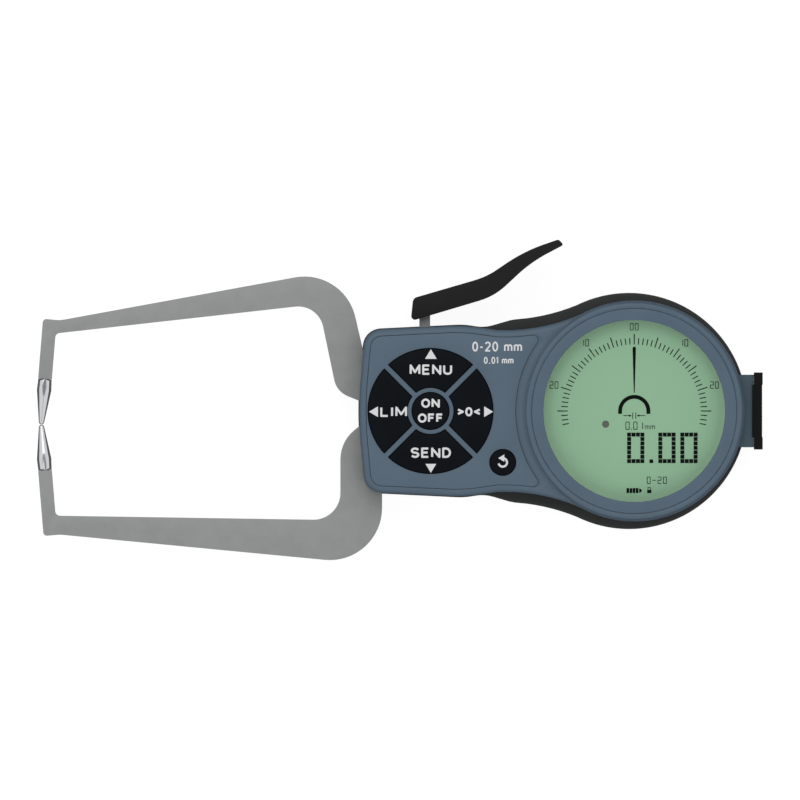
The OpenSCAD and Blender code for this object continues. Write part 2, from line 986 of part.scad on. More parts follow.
module keypad_foil() {
    color([0.33, 0.39, 0.46])
    translate([0, 0, deck_z - foil_t])
        linear_extrude(foil_t)
            difference() {
                foil_outline();
                key_holes();
            }
}

// Key with its top at the common height, a plunger below and the plan given as its child
module key(x, y, flange = 0) {
    translate([0, 0, key_bottom])
        linear_extrude(deck_z + key_proud - key_bottom)
            children();
    translate([x, y, key_bottom - 0.8])
        cylinder(h = 1, r = 1.2);
    if (flange > 0)
        translate([x, y, key_bottom])
            cylinder(h = flange_t, r = flange);
}

// Sector key turned to angle a, held down by a lip under the deck
module sector_key(a) {
    color([0.07, 0.08, 0.09])
    rotate(a) {
        key(key_centre_r, 0)
            sector();
        translate([0, 0, key_bottom])
            linear_extrude(flange_t)
                intersection() {
                    difference() {
                        circle(key_r + key_lip_out);
                        circle(key_inner_r - key_lip_in);
                    }
                    polygon([[key_gap, 0], [2 * key_r, 2 * key_r - 6], [2 * key_r, 6 - 2 * key_r]]);
                }
    }
}

module key_mode() sector_key(90);

module key_tol() sector_key(180);

module key_data() sector_key(270);

module key_zero() sector_key(0);

module key_ok() {
    color([0.07, 0.08, 0.09])
    key(0, 0, ok_r + 0.5)
        circle(ok_r);
}

module key_reset() {
    color([0.07, 0.08, 0.09])
    key(reset_x, reset_y, reset_r + 0.5)
        translate([reset_x, reset_y])
            circle(reset_r);
}

module buzzer() {
    color([0.15, 0.15, 0.15])
    translate([28, -7, board_z - 2.2])
        cylinder(h = 2.2, r = 4.5);
}

module battery_cell() {
    color([0.8, 0.8, 0.8])
    translate([rear_x, 0, cell_z])
        cylinder(h = cell_t, r = cell_r);
}

module battery_contacts() {
    color([0.85, 0.75, 0.4])
    for (x = [-6, 6])
        translate([rear_x + x, 0, cell_z + cell_t])
            cylinder(h = board_z - cell_z - cell_t, r = 0.8);
}

module battery_lid() {
    color([0.12, 0.12, 0.12])
    translate([rear_x, 0, lid_z])
        difference() {
            union() {
                cylinder(h = lid_t, r = lid_r);
                cylinder(h = lid_t + 3.2, r = 11.25);
                translate([0, 0, lid_t + 0.05])
                    for (a = [0:120:240])
                        rotate(a)
                            translate([0, -1.8, 0])
                                cube([lug_r, 3.6, lug_t]);
            }
            translate([0, 0, lid_t])
                cylinder(h = through, r = cell_r + 0.3);
            translate([-7, -0.9, -over])
                cube([14, 1.8, over + 1]);
        }
}

module battery_seal() {
    color([0.05, 0.05, 0.05])
    translate([rear_x, 0, lid_top + 1.9])
        rotate_extrude()
            translate([12, 0])
                circle(0.75, $fn = 32);
}

// Puts a child at each of the ten contacts of the socket, pointing along +X from x
module pin_places(x)
    for (y = [-4:2:4], z = [-1.3, 1.3])
        translate([x, y, socket_mid_z + z])
            rotate([0, 90, 0])
                children();

module port_block() {
    color([0.24, 0.29, 0.32])
    difference() {
        translate([port_back_x, -port_w / 2, port_z])
            cube([port_face_x - port_back_x, port_w, port_h]);
        translate([socket_x, -socket_w / 2, socket_mid_z - socket_h / 2])
            cube([through, socket_w, socket_h]);
        pin_places(port_back_x - over)
            cylinder(h = through, r = port_hole_r, $fn = 24);
    }
}

module port_pins() {
    start_x = port_x - 3.4;
    color([0.85, 0.7, 0.3])
    pin_places(start_x)
        cylinder(h = socket_x + 0.6 - start_x, r = port_hole_r, $fn = 24);
}

module port_cap() {
    face_x = port_face_x + gap;
    cap_h = port_h + 2 * cap_over;
    cap_z = port_z - cap_over;
    half_w = port_w / 2 + cap_side;
    plug_w = socket_w - 2 * plug_fit;
    plug_h = socket_h - 2 * plug_fit;
    color([0.11, 0.11, 0.11])
    union() {
        translate([face_x, -half_w, cap_z])
            cube([cap_t, 2 * half_w, cap_h]);
        for (side = [0, 1])
            mirror([0, side, 0])
                translate([face_x, half_w - cap_ear_w, cap_z])
                    cube([cap_t + cap_ear, cap_ear_w, cap_h]);
        // Lips that grip the block's end above and below
        difference() {
            translate([face_x - cap_lip, cap_ear_w - half_w, cap_z])
                cube([cap_lip + cap_t / 2, 2 * (half_w - cap_ear_w), cap_h]);
            translate([face_x - over, -half_w, port_z - gap])
                cube([over, 2 * half_w, port_h + 2 * gap]);
        }
        // Hollow plug in the socket
        difference() {
            translate([face_x - plug_l, -plug_w / 2, socket_mid_z - plug_h / 2])
                cube([plug_l + cap_t / 2, plug_w, plug_h]);
            translate([face_x - plug_l - over, plug_wall - plug_w / 2, socket_mid_z - plug_h / 2 + plug_wall])
                cube([plug_l + over, plug_w - 2 * plug_wall, plug_h - 2 * plug_wall]);
        }
    }
}

rear_shell();
front_shell();
shell_gasket();
case_screws();
chassis_plate();
chassis_screws();
pivot_axle();
axle_nut();
bearing_spacers();
bearing_inner_race();
bearing_balls();
bearing_cage();
bearing_outer_race();
moving_arm();
moving_contact();
lever();
lever_screws();
fixed_arm();
fixed_contact();
fixed_arm_screws();
fixed_arm_dowels();
return_spring();
spring_pin_moving();
spring_pin_fixed();
arm_stop();
encoder_scale();
encoder_head();
main_board();
key_domes();
lcd_glass();
lcd_frame();
lcd_connector();
display_window();
window_seal();
display_bezel();
keypad_foil();
key_mode();
key_tol();
key_data();
key_zero();
key_ok();
key_reset();
buzzer();
battery_cell();
battery_contacts();
battery_lid();
battery_seal();
port_block();
port_pins();
port_cap();
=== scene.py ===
import math

import bmesh
import bpy
from mathutils import Matrix, Vector


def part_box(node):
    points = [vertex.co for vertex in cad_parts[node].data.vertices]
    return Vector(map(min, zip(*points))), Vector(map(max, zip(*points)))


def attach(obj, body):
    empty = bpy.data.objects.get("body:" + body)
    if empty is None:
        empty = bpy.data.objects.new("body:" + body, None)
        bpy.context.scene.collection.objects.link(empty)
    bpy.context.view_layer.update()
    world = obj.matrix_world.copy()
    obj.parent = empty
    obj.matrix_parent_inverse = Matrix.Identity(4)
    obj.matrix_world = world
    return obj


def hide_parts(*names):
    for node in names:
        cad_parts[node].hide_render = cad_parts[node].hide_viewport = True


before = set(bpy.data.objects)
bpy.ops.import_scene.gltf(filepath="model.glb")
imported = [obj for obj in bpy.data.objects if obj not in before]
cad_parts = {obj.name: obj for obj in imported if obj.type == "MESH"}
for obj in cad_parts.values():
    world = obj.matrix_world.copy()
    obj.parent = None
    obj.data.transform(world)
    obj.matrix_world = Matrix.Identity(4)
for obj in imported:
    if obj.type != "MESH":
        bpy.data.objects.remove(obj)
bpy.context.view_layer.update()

mm = 0.001

# ---------------------------------------------------------------------------------------------
# Light table, light tent and camera. The gauge lies on its back on a white light table, under an
# even white tent that is darker towards the horizon, and is seen from straight above.
# ---------------------------------------------------------------------------------------------
view_centre = Vector((-8.19 * mm, 2.95 * mm, 0))
view_width = 214.8 * mm
camera_height = 0.6
camera_reach = 10
table_half = 3
table_gap = 0.05 * mm
table_grey = (0.16, 0.16, 0.16)
table_glow = 0.92
tent_floor = (0.15, 0.15, 0.155, 1)
tent_opening = (0.3, 0.3, 0.31, 1)
tent_white_from, tent_white_to = 0.15, 0.94
tent_opening_from = 0.99
tent_strength = 0.9
backdrop_white = (1.12, 1.12, 1.12, 1)
key_box_place = (-0.12, 0.45, 0.75)
key_box_size = 0.6
key_box_watts = 1.1


def linear(red, green, blue):
    """Scene colour for a paint colour given in 0 to 255 display steps."""
    steps = [v / 255 for v in (red, green, blue)]
    return tuple(v / 12.92 if v <= 0.04045 else ((v + 0.055) / 1.055) ** 2.4 for v in steps)


class Shader:
    """Node builder for one material, with positions on the piece in metres."""

    def __init__(self, name, colour, roughness, metallic=0.0, gloss=0.25):
        self.material = bpy.data.materials.new(name)
        self.material.use_nodes = True
        self.tree = self.material.node_tree
        self.surface = self.tree.nodes["Principled BSDF"]
        self.surface.inputs["Base Color"].default_value = (*colour, 1)
        self.surface.inputs["Roughness"].default_value = roughness
        self.surface.inputs["Metallic"].default_value = metallic
        self.surface.inputs["Specular IOR Level"].default_value = gloss
        self.place = self.tree.nodes.new("ShaderNodeTexCoord").outputs["Object"]

    def node(self, kind, **settings):
        made = self.tree.nodes.new(kind)
        for key, value in settings.items():
            setattr(made, key, value)
        return made

    def link(self, source, target):
        self.tree.links.new(source, target)

    def stretched(self, scale):
        """Positions on the piece, stretched for a grain that runs one way."""
        mapping = self.node("ShaderNodeMapping")
        mapping.inputs["Scale"].default_value = scale
        self.link(self.place, mapping.inputs["Vector"])
        return mapping.outputs["Vector"]

    def noise(self, size, detail=3.0, place=None):
        """Noise whose blobs are about size metres across."""
        made = self.node("ShaderNodeTexNoise")
        made.inputs["Scale"].default_value = 1 / size
        made.inputs["Detail"].default_value = detail
        self.link(place or self.place, made.inputs["Vector"])
        return made.outputs["Fac"]

    def ranged(self, value, low, high, start=0.3, end=0.7):
        """Value taken from start..end, where most noise lies, to low..high."""
        made = self.node("ShaderNodeMapRange")
        limits = {"From Min": start, "From Max": end, "To Min": low, "To Max": high}
        for key, number in limits.items():
            made.inputs[key].default_value = number
        self.link(value, made.inputs["Value"])
        return made.outputs["Result"]

    def mixed(self, factor, first, second):
        """Colour between two fixed colours or colour sockets."""
        made = self.node("ShaderNodeMix", data_type="RGBA")
        factor_in, first_in, second_in = made.inputs[0], made.inputs[6], made.inputs[7]
        self.link(factor, factor_in)
        for socket, colour in ((first_in, first), (second_in, second)):
            if isinstance(colour, tuple):
                socket.default_value = (*colour, 1)
            else:
                self.link(colour, socket)
        return made.outputs[2]

    def vary_colour(self, value, colour, amount):
        """Base colour that drifts by amount either side of colour."""
        dark = tuple(c * (1 - amount) for c in colour)
        light = tuple(min(1, c * (1 + amount)) for c in colour)
        factor = self.ranged(value, 0, 1)
        self.link(self.mixed(factor, dark, light), self.surface.inputs["Base Color"])

    def vary_roughness(self, value, low, high):
        self.link(self.ranged(value, low, high), self.surface.inputs["Roughness"])

    def relief(self, value, depth, strength):
        """Bump of the given depth in metres."""
        made = self.node("ShaderNodeBump")
        made.inputs["Distance"].default_value = depth
        made.inputs["Strength"].default_value = strength
        self.link(value, made.inputs["Height"])
        self.link(made.outputs["Normal"], self.surface.inputs["Normal"])


def light_table():
    """Glowing white table top, which washes out all but the deepest shadows."""
    bm = bmesh.new()
    bmesh.ops.create_grid(bm, x_segments=1, y_segments=1, size=table_half)
    mesh = bpy.data.meshes.new("light_table")
    bm.to_mesh(mesh)
    bm.free()
    table = bpy.data.objects.new("light_table", mesh)
    table.location.z = -table_gap
    bpy.context.scene.collection.objects.link(table)
    glow = Shader("table_glow", table_grey, 0.9, gloss=0)
    glow.surface.inputs["Emission Color"].default_value = (1, 1, 1, 1)
    glow.surface.inputs["Emission Strength"].default_value = table_glow
    mesh.materials.append(glow.material)
    table.visible_diffuse = False
    table.visible_glossy = False


def light_tent():
    """White all round, dark towards and below the horizon and dimmer at the camera's opening.

    The backdrop that the camera itself sees beyond the table is white.
    """
    world = bpy.data.worlds.new("light_tent")
    bpy.context.scene.world = world
    world.use_nodes = True
    nodes, links = world.node_tree.nodes, world.node_tree.links
    direction = nodes.new("ShaderNodeTexCoord").outputs["Generated"]
    split = nodes.new("ShaderNodeSeparateXYZ")
    links.new(direction, split.inputs[0])
    ramp = nodes.new("ShaderNodeValToRGB")
    stops = ramp.color_ramp.elements
    stops[0].color = tent_floor
    stops[1].color = tent_opening
    stops[1].position = tent_opening_from
    for position in (tent_white_from, tent_white_to):
        stops.new(position).color = (1, 1, 1, 1)
    links.new(split.outputs["Z"], ramp.inputs[0])
    backdrop = nodes.new("ShaderNodeMix")
    backdrop.data_type = "RGBA"
    factor_in, tent_in, white_in = backdrop.inputs[0], backdrop.inputs[6], backdrop.inputs[7]
    white_in.default_value = backdrop_white
    links.new(nodes.new("ShaderNodeLightPath").outputs["Is Camera Ray"], factor_in)
    links.new(ramp.outputs[0], tent_in)
    links.new(backdrop.outputs[2], nodes["Background"].inputs["Color"])
    nodes["Background"].inputs["Strength"].default_value = tent_strength


def soft_box(name, place, size, watts):
    """Square soft light that faces the gauge."""
    light = bpy.data.lights.new(name, "AREA")
    light.size = size
    light.energy = watts
    lamp = bpy.data.objects.new(name, light)
    lamp.location = place
    lamp.rotation_euler = (-Vector(place)).to_track_quat("-Z", "Y").to_euler()
    bpy.context.scene.collection.objects.link(lamp)


def camera_above():
    data = bpy.data.cameras.new("camera")
    data.type = "ORTHO"
    data.ortho_scale = view_width
    data.clip_end = camera_reach
    camera = bpy.data.objects.new("camera", data)
    camera.location = view_centre + Vector((0, 0, camera_height))
    bpy.context.scene.collection.objects.link(camera)
    bpy.context.scene.camera = camera


light_table()
light_tent()
soft_box("key_box", key_box_place, key_box_size, key_box_watts)
camera_above()
bpy.context.scene.view_settings.view_transform = "Standard"
bpy.context.scene.view_settings.look = "None"

# ---------------------------------------------------------------------------------------------
# Back housing: one deep black shell of glass-filled nylon, moulded with a fine spark finish. Its
# outer edges are well rounded for the hand. Seven screws hold it to the front housing.
# ---------------------------------------------------------------------------------------------
back_edge_r = 2.6 * mm
back_rim_r = 0.7 * mm
back_outline_up = 3 * mm
outline_step = 0.7 * mm
skin_inset = 0.03 * mm
face_inset = 0.002 * mm
same_level = 0.001 * mm
place_digits = 6
weld = 2e-7
cut_weld = 2e-6
joined_weld = 1e-6
sharp_from = math.radians(35)
drift_size = 9 * mm
back_black = linear(55, 56, 56)


def merged_copy(node):
    """The CAD node's mesh as one welded bmesh."""
    bm = bmesh.new()
    bm.from_mesh(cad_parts[node].data)
    bmesh.ops.remove_doubles(bm, verts=bm.verts, dist=weld)
    return bm


def signed_area(loop):
    """Twice the area in a closed outline, positive where it runs anticlockwise."""
    return sum(a.x * b.y - b.x * a.y for a, b in zip(loop, loop[1:] + loop[:1]))


def outer_loop(node, height):
    """Outline of a CAD node at a height: its widest loop, anticlockwise from its left end."""
    bm = merged_copy(node)
    everything = bm.verts[:] + bm.edges[:] + bm.faces[:]
    bmesh.ops.bisect_plane(
        bm, geom=everything, plane_co=(0, 0, height), plane_no=(0, 0, 1),
        clear_inner=True, clear_outer=True,
    )
    bmesh.ops.remove_doubles(bm, verts=bm.verts, dist=cut_weld)
    loops = []
    unused = set(bm.verts)
    while unused:
        vert = unused.pop()
        loop = [vert]
        while True:
            neighbours = [edge.other_vert(vert) for edge in vert.link_edges]
            ahead = [other for other in neighbours if other in unused]
            if not ahead:
                break
            vert = ahead[0]
            unused.discard(vert)
            loop.append(vert)
        loops.append([Vector((v.co.x, v.co.y)) for v in loop])
    bm.free()

    def span(loop):
        return max(p.x for p in loop) - min(p.x for p in loop)

    loop = max(loops, key=span)
    places = [(round(p.x, place_digits), round(p.y, place_digits)) for p in loop]
    start = places.index(min(places))
    loop = loop[start:] + loop[:start]
    return loop if signed_area(loop) > 0 else loop[:1] + loop[:0:-1]


def even_loop(loop, spacing):
    """The same closed outline with its points spaced evenly."""
    ends = loop[1:] + loop[:1]
    lengths = [(b - a).length for a, b in zip(loop, ends)]
    count = round(sum(lengths) / spacing)
    step = sum(lengths) / count
    points, edge, along = [], 0, 0.0
    for _ in range(count):
        while along > lengths[edge] and edge < len(loop) - 1:
            along -= lengths[edge]
            edge += 1
        points.append(loop[edge].lerp(ends[edge], min(1, along / lengths[edge])))
        along += step
    return points


def drawn_in(loop, inset):
    """A closed anticlockwise outline moved inwards by inset along its normals."""
    count = len(loop)
    moved = []
    for i, point in enumerate(loop):
        along = (loop[(i + 1) % count] - loop[i - 1]).normalized()
        moved.append(point + inset * Vector((-along.y, along.x)))
    return moved


def prism(loop, low, high):
    """Upright solid with a closed outline, between two heights."""
    bm = bmesh.new()
    base = bm.faces.new([bm.verts.new((p.x, p.y, low)) for p in loop])
    made = bmesh.ops.extrude_face_region(bm, geom=[base])["geom"]
    tops = [v for v in made if isinstance(v, bmesh.types.BMVert)]
    bmesh.ops.translate(bm, verts=tops, vec=(0, 0, high - low))
    bmesh.ops.recalc_face_normals(bm, faces=bm.faces)
    return bm


def edges_at(bm, height):
    """Edges that lie level at a height."""
    return [e for e in bm.edges if all(abs(v.co.z - height) < same_level for v in e.verts)]


def round_edges(bm, edges, radius, segments):
    bmesh.ops.bevel(
        bm, geom=edges, offset=radius, segments=segments, profile=0.5, affect="EDGES",
        material=-1, clamp_overlap=True,
    )


def piece(bm, name, shader, body, replaces=()):
    """Turns a bmesh into a finished piece that rides on a body."""
    mesh = bpy.data.meshes.new(name)
    bm.to_mesh(mesh)
    bm.free()
    mesh.materials.append(shader.material)
    mesh.polygons.foreach_set("use_smooth", [True] * len(mesh.polygons))
    mesh.set_sharp_from_angle(angle=sharp_from)
    made = bpy.data.objects.new(name, mesh)
    bpy.context.scene.collection.objects.link(made)
    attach(made, body)
    if replaces:
        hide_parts(*replaces)


def combined(bm, others, operation):
    """bm joined with, cut by or kept inside other bmeshes; all are used up."""
    first = bpy.data.objects.new("work", bpy.data.meshes.new("work"))
    bm.to_mesh(first.data)
    bm.free()
    helpers = [first]
    bpy.context.scene.collection.objects.link(first)
    for other in others:
        tool = bpy.data.objects.new("tool", bpy.data.meshes.new("tool"))
        other.to_mesh(tool.data)
        other.free()
        bpy.context.scene.collection.objects.link(tool)
        helpers.append(tool)
        step = first.modifiers.new("step", "BOOLEAN")
        step.operation = operation
        step.solver = "EXACT"
        step.object = tool
    seen = first.evaluated_get(bpy.context.evaluated_depsgraph_get())
    result = bmesh.new()
    result.from_mesh(seen.to_mesh())
    seen.to_mesh_clear()
    for helper in helpers:
        data = helper.data
        bpy.data.objects.remove(helper)
        bpy.data.meshes.remove(data)
    bmesh.ops.remove_doubles(result, verts=result.verts, dist=joined_weld)
    bmesh.ops.dissolve_degenerate(result, edges=result.edges, dist=joined_weld)
    return result


def moulded(name, colour, roughness, grain, depth, blotch=0.06, gloss=0.25):
    """Moulded plastic: fine spark texture, slight drift in colour and polish."""
    shader = Shader(name, colour, roughness, gloss=gloss)
    fine = shader.noise(grain, 2.0)
    broad = shader.noise(drift_size)
    shader.vary_colour(broad, colour, blotch)
    shader.vary_roughness(broad, roughness - 0.05, roughness + 0.06)
    shader.relief(fine, depth, 0.6)
    return shader


def back_housing():
    """The CAD shell kept inside a rounded form of its own outline, drawn in by a hair."""
    low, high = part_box("rear_shell")
    bottom, top = low[2] + face_inset, high[2] - face_inset
    outline = even_loop(outer_loop("rear_shell", low[2] + back_outline_up), outline_step)
    form = prism(drawn_in(outline, skin_inset), bottom, top)
    round_edges(form, edges_at(form, bottom), back_edge_r, 7)
    round_edges(form, edges_at(form, top), back_rim_r, 4)
    shell = combined(merged_copy("rear_shell"), [form], "INTERSECT")
    nylon = moulded("back_nylon", back_black, 0.48, 0.18 * mm, 0.008 * mm, gloss=0.1)
    piece(shell, "back_housing", nylon, "housing", ["rear_shell"])


back_housing()

# ---------------------------------------------------------------------------------------------
# Front housing: blue-grey moulding with a shallow tray for the keypad skin and a raised ring
# round the display. The ring rises from the deck out of a hollow curve, and its outer edge and
# the rim of the deck are rounded.
# ---------------------------------------------------------------------------------------------
deck_rim_r = 1.5 * mm
above_port = 0.6 * mm
ring_edge_r = 0.8 * mm
ring_foot = 0.9 * mm
ring_set_in = 0.25 * mm
ring_root = 3 * mm
ring_steps = 180
spin_weld = 1e-7
plastic_grain = 0.14 * mm
plastic_depth = 0.012 * mm
housing_blue = linear(82, 99, 114)


def turned(profile, centre, steps):
    """Solid of revolution about an upright axis through centre, from (radius, height) points.

    A profile that starts and ends on the axis gives a closed solid, and so does a closed ring.
    """
    bm = bmesh.new()
    on_axis = profile[0][0] < 1e-9
    points = profile if on_axis else profile + profile[:1]
    verts = [bm.verts.new((centre[0] + r, centre[1], z)) for r, z in points]
    edges = [bm.edges.new(pair) for pair in zip(verts, verts[1:])]
    bmesh.ops.spin(
        bm, geom=verts + edges, cent=(centre[0], centre[1], 0), axis=(0, 0, 1),
        angle=2 * math.pi, steps=steps, use_merge=True,
    )
    bmesh.ops.remove_doubles(bm, verts=bm.verts, dist=spin_weld)
    bmesh.ops.recalc_face_normals(bm, faces=bm.faces)
    return bm


def bend(centre_r, centre_z, radius, start, stop, steps):
    """Points of a round stretch of a turned profile."""
    angles = [math.radians(start + (stop - start) * i / steps) for i in range(steps + 1)]
    return [(centre_r + radius * math.cos(a), centre_z + radius * math.sin(a)) for a in angles]


dial_low, dial_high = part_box("display_bezel")
dial_centre = ((dial_low[0] + dial_high[0]) / 2, (dial_low[1] + dial_high[1]) / 2)
ring_top = dial_high[2]
deck_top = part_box("keypad_foil")[1][2]
dial_outer_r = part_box("front_shell")[1][1]


def display_ring():
    """Solid up to the ring's top, with a hollow curve at its foot and a rounded outer edge."""
    foot_r = dial_outer_r - ring_set_in
    top_r = foot_r - ring_foot
    rise = ring_top - deck_top
    root = deck_top - ring_root
    profile = [(0, root), (foot_r - 0.2 * mm, root), (foot_r, deck_top - 1.2 * mm)]
    profile += [(foot_r, deck_top), (foot_r - 0.15 * mm, deck_top + 0.12 * rise)]
    profile += [(foot_r - 0.45 * mm, deck_top + 0.42 * rise)]
    profile += bend(top_r - ring_edge_r * 0.2, ring_top - ring_edge_r, ring_edge_r, 28, 90, 5)
    profile += [(0, ring_top)]
    return turned(profile, dial_centre, ring_steps)


def front_housing():
    low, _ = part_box("front_shell")
    outline_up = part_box("port_block")[1][2] + above_port
    outline = even_loop(outer_loop("front_shell", outline_up), outline_step)
    body = prism(drawn_in(outline, skin_inset), low[2] + face_inset, deck_top)
    round_edges(body, edges_at(body, deck_top), deck_rim_r, 6)
    form = combined(body, [display_ring()], "UNION")
    shell = combined(merged_copy("front_shell"), [form], "INTERSECT")
    paint = moulded("front_moulding", housing_blue, 0.42, plastic_grain, plastic_depth, 0.035)
    piece(shell, "front_housing", paint, "housing", ["front_shell"])


front_housing()

# ---------------------------------------------------------------------------------------------
# Display: a blue bezel ring holds a flat clear window over the liquid crystal glass. The glass
# has a fine-grained grey-green reflector, with painted light that makes it lighter towards its
# border, where the bezel casts its shade. Its segments are black and stand as thin flat shapes on the
# glass.
# ---------------------------------------------------------------------------------------------
window_r = 24.4 * mm
bezel_edge_r = 0.25 * mm
reflector_green = linear(156, 199, 163)
# painted light: a lighter green for the glass's border, which lifts the shade the bezel casts on it
painted_light_green = linear(182, 226, 189)
reflector_grain = 0.12 * mm
shade_from = window_r - 2.4 * mm
shade_to = window_r + 0.3 * mm
segment_black = linear(8, 12, 9)
segment_grain = 0.5 * mm
dot_grey = linear(100, 104, 100)
window_edge = 0.15 * mm
glass_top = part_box("lcd_glass")[1][2]
segment_t = 0.03 * mm


def bezel():
    low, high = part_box("display_bezel")
    outer_r = (high[0] - low[0]) / 2
    profile = bend(window_r + bezel_edge_r, high[2] - bezel_edge_r, bezel_edge_r, 180, 90, 4)
    profile += bend(outer_r - bezel_edge_r, high[2] - bezel_edge_r, bezel_edge_r, 90, 0, 4)
    profile += [(outer_r, low[2]), (window_r, low[2])]
    ring = turned(profile, dial_centre, ring_steps)
    paint = moulded("bezel_moulding", housing_blue, 0.4, plastic_grain, plastic_depth, 0.03)
    piece(ring, "bezel", paint, "housing", ["display_bezel"])


def window():
    low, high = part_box("display_window")
    r, bottom, top = (high[0] - low[0]) / 2, low[2], high[2]
    profile = [(0, bottom), (r - window_edge, bottom), (r, bottom + window_edge)]
    profile += [(r, top - window_edge), (r - window_edge, top), (0, top)]
    pane = turned(profile, dial_centre, 128)
    clear = Shader("window_clear", (0.02, 0.03, 0.025), 0.06, gloss=0.4)
    clear.surface.inputs["Alpha"].default_value = 0.05
    clear.vary_roughness(clear.noise(4 * mm), 0.03, 0.09)
    piece(pane, "window_pane", clear, "housing", ["display_window"])


def finish_node(node, shader):
    """Gives a CAD node its finish and leaves its shape as it is."""
    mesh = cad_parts[node].data
    mesh.materials.clear()
    mesh.materials.append(shader.material)


def display_glass():
    """Reflector colour with painted light: lighter by distance from the display's centre to lift the
    bezel's shade.
    """
    shader = Shader("reflector", reflector_green, 0.55)
    centred = shader.node("ShaderNodeVectorMath", operation="SUBTRACT")
    centred.inputs[1].default_value = (*dial_centre, glass_top)
    shader.link(shader.place, centred.inputs[0])
    distance = shader.node("ShaderNodeVectorMath", operation="LENGTH")
    shader.link(centred.outputs[0], distance.inputs[0])
    painted_light_border = shader.ranged(distance.outputs["Value"], 0, 1, shade_from, shade_to)
    soft = shader.node("ShaderNodeMath", operation="POWER")
    soft.inputs[1].default_value = 2.2
    shader.link(painted_light_border, soft.inputs[0])
    grain = shader.noise(reflector_grain, 1.0)
    grain_green = tuple(c * 0.975 for c in reflector_green)
    speckle = shader.mixed(shader.ranged(grain, 0, 1), grain_green, reflector_green)
    # painted light: towards the border the colour turns to the lighter green, to offset the bezel's
    # shade
    colour = shader.mixed(soft.outputs[0], speckle, painted_light_green)
    shader.link(colour, shader.surface.inputs["Base Color"])
    shader.relief(grain, 0.004 * mm, 0.3)
    finish_node("lcd_glass", shader)


def flat_shape(bm, points, low, height):
    """Adds a thin upright plate with the given outline to bm."""
    face = bm.faces.new([bm.verts.new((x, y, low)) for x, y in points])
    made = bmesh.ops.extrude_face_region(bm, geom=[face])["geom"]
    tops = [v for v in made if isinstance(v, bmesh.types.BMVert)]
    bmesh.ops.translate(bm, verts=tops, vec=(0, 0, height))


def on_glass(x, y):
    """Point of the display, given in millimetres right of and above its centre."""
    return (dial_centre[0] + x * mm, dial_centre[1] + y * mm)


def plate(bm, points):
    """Segment with the given outline, in millimetres from the display's centre."""
    flat_shape(bm, [on_glass(x, y) for x, y in points], glass_top, segment_t)


def box_points(x0, y0, x1, y1):
    return [(x0, y0), (x1, y0), (x1, y1), (x0, y1)]


def both_sides(bm, x0, y0, x1, y1):
    """Box right of the display's centre line and its mirror image on the left."""
    plate(bm, box_points(x0, y0, x1, y1))
    plate(bm, box_points(-x1, y0, -x0, y1))


def polar(radius, degrees):
    """Point at a clockwise angle from the top of the display."""
    a = math.radians(degrees)
    return (radius * math.sin(a), radius * math.cos(a))


def scale_ticks(bm):
    """Ticks of the round scale, with a longer one at every fifth."""
    ticks_each_side = 28
    spacing = 3.6
    inner, short_end, long_end = 17.86, 19.6, 20.67
    tick_w, width_at = 0.27, 18.9
    half = math.degrees(tick_w / 2 / width_at)
    for step in range(-ticks_each_side, ticks_each_side + 1):
        outer = long_end if step % 5 == 0 else short_end
        a = step * spacing
        corners = [(inner, a - half), (inner, a + half), (outer, a + half), (outer, a - half)]
        plate(bm, [polar(radius, degrees) for radius, degrees in corners])


# Bars of each sign of a seven-segment row, clockwise from the top: a to f, with g in the middle
SEGMENTS = {"0": "abcdef", "1": "bc", "2": "abged", "-": "g"}


def seven_segment(bm, text, x, y, height, bar, pitch):
    """Row of seven-segment digits with its lower left corner at x, y."""
    width = height * 0.52
    half = height / 2
    gap = bar * 0.2
    for digit in text:
        if digit == ".":
            plate(bm, box_points(x, y, x + bar * 1.2, y + bar * 1.2))
            x += pitch * 0.4
            continue
        bars = {
            "a": (x + gap, y + height - bar, x + width - gap, y + height),
            "d": (x + gap, y, x + width - gap, y + bar),
            "g": (x + gap, y + half - bar / 2, x + width - gap, y + half + bar / 2),
            "f": (x, y + half + gap, x + bar, y + height - gap - bar),
            "e": (x, y + gap + bar, x + bar, y + half - gap),
            "b": (x + width - bar, y + half + gap, x + width, y + height - gap - bar),
            "c": (x + width - bar, y + gap + bar, x + width, y + half - gap),
        }
        for name in SEGMENTS[digit]:
            plate(bm, box_points(*bars[name]))
        x += pitch


def dot_zero(bm, x, y):
    """Large zero of square dots, four columns by seven rows."""
    pitch, dot = 1.187, 1.06
    for row in range(7):
        for column in range(4):
            if row in (0, 6) or column in (0, 3):
                left, low = x + column * pitch, y + row * pitch
                plate(bm, box_points(left, low, left + dot, low + dot))


def arc_band(bm, inner, outer, start, stop):
    """Band between two radii and two clockwise angles from the top."""
    steps = 20
    for i in range(steps):
        a = start + (stop - start) * i / steps
        b = start + (stop - start) * (i + 1) / steps
        plate(bm, [polar(inner, a), polar(outer, a), polar(outer, b), polar(inner, b)])


def scale_numbers(bm):
    numbers_r = 22.63
    for text, degrees in (("00", 0), ("10", -36), ("10", 36), ("20", -72), ("20", 72)):
        x, y = polar(numbers_r, degrees)
        seven_segment(bm, text, x - 1.18, y - 0.99, 1.93, 0.2, 1.34)


def pointer(bm):
    tip, foot = 17.26, 4.89
    plate(bm, [
        (-0.46, 16.81), (-0.24, tip), (0.24, tip), (0.46, 16.81), (0.12, foot), (-0.12, foot),
    ])


def jaws_symbol(bm):
    """Small arch with two arrows that meet at a gap, for an outside measurement."""
    inner, outer = 3.28, 4.32
    arc_band(bm, inner, outer, -90, 90)
    both_sides(bm, inner, -0.78, outer, 0.05)
    both_sides(bm, 0.32, -2.15, 0.51, -0.38)
    both_sides(bm, 1.21, -1.34, 2.95, -1.15)
    plate(bm, [(0.64, -1.25), (1.4, -1.56), (1.4, -0.94)])
    plate(bm, [(-0.64, -1.25), (-1.4, -0.94), (-1.4, -1.56)])


